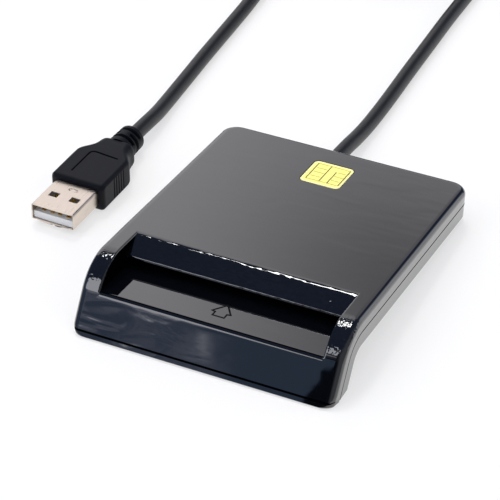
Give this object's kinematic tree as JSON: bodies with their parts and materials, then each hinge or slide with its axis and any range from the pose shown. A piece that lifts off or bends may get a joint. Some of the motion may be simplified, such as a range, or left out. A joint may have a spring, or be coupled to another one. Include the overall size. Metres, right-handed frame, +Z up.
{
  "type": "smart card reader",
  "caption": "Low desktop smart card reader: flat glossy case bent down at the front into a foot, open card well and slot, inset chip badge, and a lead with a plug.",
  "frame": {"origin": "on the surface that the reader stands on, under the middle of its case, lead and plug not counted", "axes": "+Y from the card well to the rear wall where the lead leaves, +X to the right seen from the front, +Z up"},
  "size_m": [0.097, 0.2342, 0.0149],
  "materials": {
    "gloss_black": "mirror-glossy black ABS",
    "badge": "pale yellow printed badge, satin",
    "board": "green solder mask",
    "black_plastic": "satin black moulding",
    "contact_gold": "gold-plated copper alloy",
    "cream_plastic": "natural nylon",
    "tin": "tinned metal",
    "capacitor_ceramic": "tan ceramic",
    "resistor_black": "black film on ceramic",
    "red_insulation": "smooth PVC",
    "white_insulation": "smooth PVC",
    "green_insulation": "smooth PVC",
    "black_insulation": "smooth PVC",
    "screw_steel": "zinc-plated steel",
    "foot_rubber": "soft matt rubber",
    "lead_sheath": "matt black PVC",
    "grip_black": "satin black moulded PVC",
    "shell_nickel": "nickel-plated steel, satin",
    "tongue_white": "white insulator"
  },
  "bodies": {
    "case": {"top_cover": "gloss_black", "bottom_cover": "gloss_black", "chip_badge": "badge", "circuit_board": "board", "card_connector": "black_plastic", "contact_tails": "contact_gold", "card_switch_housing": "cream_plastic", "controller_chip": "black_plastic", "voltage_regulator": "black_plastic", "crystal": "tin", "capacitors": "capacitor_ceramic", "resistors": "resistor_black", "lead_socket": "cream_plastic", "lead_socket_pins": "tin", "lead_connector": "cream_plastic", "red_wire": "red_insulation", "white_wire": "white_insulation", "green_wire": "green_insulation", "black_wire": "black_insulation", "board_screws": "screw_steel", "case_screws": "screw_steel", "rear_bumpers": "foot_rubber", "front_pads": "foot_rubber", "lead_grommet": "lead_sheath", "reader_lead": "lead_sheath", "lead_coil": "lead_sheath", "plug_lead": "lead_sheath", "plug_grip": "grip_black", "plug_shell": "shell_nickel", "plug_tongue": "tongue_white", "plug_contacts": "contact_gold"},
    "front_contacts": {"front_contact_springs": "contact_gold"},
    "rear_contacts": {"rear_contact_springs": "contact_gold"},
    "card_switch": {"card_switch_lever": "cream_plastic"}
  },
  "joints": [
    {"name": "front_contacts_give", "type": "hinge", "parent": "case", "child": "front_contacts", "pos_m": [0.00311, -0.0022, 0.00881], "axis": [1, 0, 0], "range_deg": [0, 4.5], "stiffness_Nm_per_rad": 0.2},
    {"name": "rear_contacts_give", "type": "hinge", "parent": "case", "child": "rear_contacts", "pos_m": [0.00311, 0.01655, 0.00713], "axis": [-1, 0, 0], "range_deg": [0, 4.5], "stiffness_Nm_per_rad": 0.2},
    {"name": "card_switch_swing", "type": "hinge", "parent": "case", "child": "card_switch", "pos_m": [-0.0116, 0.02146, 0.00646], "axis": [1, 0, 0], "range_deg": [0, 39], "stiffness_Nm_per_rad": 0.002}
  ]
}
